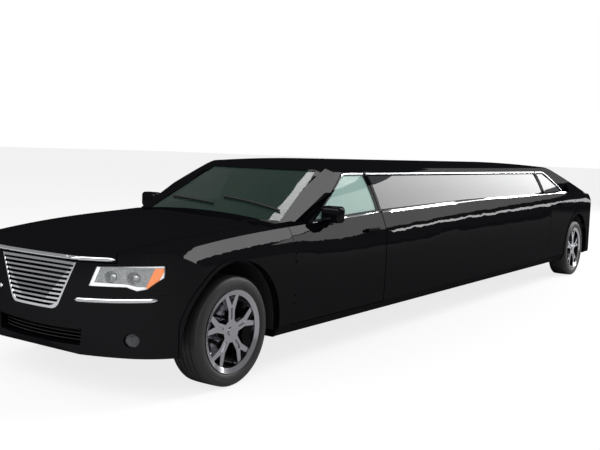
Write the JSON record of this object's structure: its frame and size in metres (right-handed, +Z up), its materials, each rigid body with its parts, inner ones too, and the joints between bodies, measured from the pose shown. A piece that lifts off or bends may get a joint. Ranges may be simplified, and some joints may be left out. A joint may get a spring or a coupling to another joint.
{
  "type": "stretch limousine",
  "caption": "Long black four-door limousine with forked-spoke wheels; doors, bonnet and boot open, front wheels steer.",
  "frame": {"origin": "on the ground under the middle of the car, midway between nose and tail", "axes": "+Z up, -Y towards the front, +X towards the car's left side"},
  "size_m": [2.056, 9.235, 1.4839],
  "materials": {
    "body_paint": "gloss black",
    "chrome": "polished",
    "wheel_chrome": "polished",
    "tyre": "matt",
    "clear_glass": "green tint",
    "dark_glass": "privacy tint",
    "lamp_glass": "clear",
    "lamp_silver": "vapour silver",
    "tail_glass": "red lens",
    "black_plastic": "satin",
    "underbody": "satin black",
    "cast_metal": "raw",
    "bare_metal": "satin",
    "pipe_metal": "dull",
    "seat_leather": "fine grain",
    "trim_wood": "lacquered"
  },
  "bodies": {
    "body": {"body_side_left": "body_paint", "body_side_right": "body_paint", "front_fender_left": "body_paint", "front_fender_right": "body_paint", "roof_panel": "body_paint", "cowl_panel": "black_plastic", "front_bumper": "body_paint", "rear_bumper": "body_paint", "headlamp_lenses": "lamp_glass", "headlamp_bowls": "lamp_silver", "fog_lamps": "lamp_glass", "tail_lamps": "tail_glass", "grille": "chrome", "floor_pan": "underbody", "boot_floor": "underbody", "parcel_shelf": "black_plastic", "front_frame": "underbody", "arch_liners": "black_plastic", "engine_block": "cast_metal", "radiator": "black_plastic", "front_suspension": "cast_metal", "rear_suspension": "cast_metal", "driveshaft": "pipe_metal", "exhaust": "pipe_metal", "front_seats": "seat_leather", "lounge_seat": "seat_leather", "bar_cabinet": "trim_wood", "partition": "black_plastic", "dashboard": "black_plastic", "steering_wheel": "black_plastic", "windshield": "clear_glass", "rear_window": "dark_glass", "stretch_glass": "dark_glass"},
    "hood": {"hood": "body_paint"},
    "trunk_lid": {"trunk_lid": "body_paint"},
    "front_door_left": {"front_door_left": "body_paint", "front_door_glass_left": "clear_glass", "door_mirror_left": "body_paint"},
    "rear_door_left": {"rear_door_left": "body_paint", "rear_door_glass_left": "dark_glass"},
    "knuckle_left": {"knuckle_left": "cast_metal"},
    "wheel_front_left": {"tyre_front_left": "tyre", "rim_front_left": "wheel_chrome"},
    "wheel_rear_left": {"tyre_rear_left": "tyre", "rim_rear_left": "wheel_chrome"},
    "front_door_right": {"front_door_right": "body_paint", "front_door_glass_right": "clear_glass", "door_mirror_right": "body_paint"},
    "rear_door_right": {"rear_door_right": "body_paint", "rear_door_glass_right": "dark_glass"},
    "knuckle_right": {"knuckle_right": "cast_metal"},
    "wheel_front_right": {"tyre_front_right": "tyre", "rim_front_right": "wheel_chrome"},
    "wheel_rear_right": {"tyre_rear_right": "tyre", "rim_rear_right": "wheel_chrome"}
  },
  "joints": [
    {"name": "steer_left", "type": "hinge", "parent": "body", "child": "knuckle_left", "pos_m": [0.7, -3.7475, 0.364], "axis": [0, 0, 1], "range_deg": [-35, 35]},
    {"name": "roll_front_left", "type": "hinge", "parent": "knuckle_left", "child": "wheel_front_left", "pos_m": [0.8075, -3.7475, 0.364], "axis": [1, 0, 0], "continuous": true},
    {"name": "roll_rear_left", "type": "hinge", "parent": "body", "child": "wheel_rear_left", "pos_m": [0.8075, 3.4955, 0.364], "axis": [1, 0, 0], "continuous": true},
    {"name": "front_door_left_open", "type": "hinge", "parent": "body", "child": "front_door_left", "pos_m": [0.94383, -3.1025, 0.65], "axis": [0, 0, -1], "range_deg": [0, 68]},
    {"name": "rear_door_left_open", "type": "hinge", "parent": "body", "child": "rear_door_left", "pos_m": [0.94361, 2.3955, 0.65], "axis": [0, 0, -1], "range_deg": [0, 68]},
    {"name": "steer_right", "type": "hinge", "parent": "body", "child": "knuckle_right", "pos_m": [-0.7, -3.7475, 0.364], "axis": [0, 0, 1], "range_deg": [-35, 35]},
    {"name": "roll_front_right", "type": "hinge", "parent": "knuckle_right", "child": "wheel_front_right", "pos_m": [-0.8075, -3.7475, 0.364], "axis": [1, 0, 0], "continuous": true},
    {"name": "roll_rear_right", "type": "hinge", "parent": "body", "child": "wheel_rear_right", "pos_m": [-0.8075, 3.4955, 0.364], "axis": [1, 0, 0], "continuous": true},
    {"name": "front_door_right_open", "type": "hinge", "parent": "body", "child": "front_door_right", "pos_m": [-0.94383, -3.1025, 0.65], "axis": [0, 0, 1], "range_deg": [0, 68]},
    {"name": "rear_door_right_open", "type": "hinge", "parent": "body", "child": "rear_door_right", "pos_m": [-0.94361, 2.3955, 0.65], "axis": [0, 0, 1], "range_deg": [0, 68]},
    {"name": "hood_open", "type": "hinge", "parent": "body", "child": "hood", "pos_m": [0, -3.0505, 0.985], "axis": [-1, 0, 0], "range_deg": [0, 52]},
    {"name": "trunk_open", "type": "hinge", "parent": "body", "child": "trunk_lid", "pos_m": [0, 4.1, 1.12271], "axis": [1, 0, 0], "range_deg": [0, 72]}
  ],
  "couplings": [
    {"joint": "steer_right", "follows": "steer_left", "ratio": 1}
  ]
}
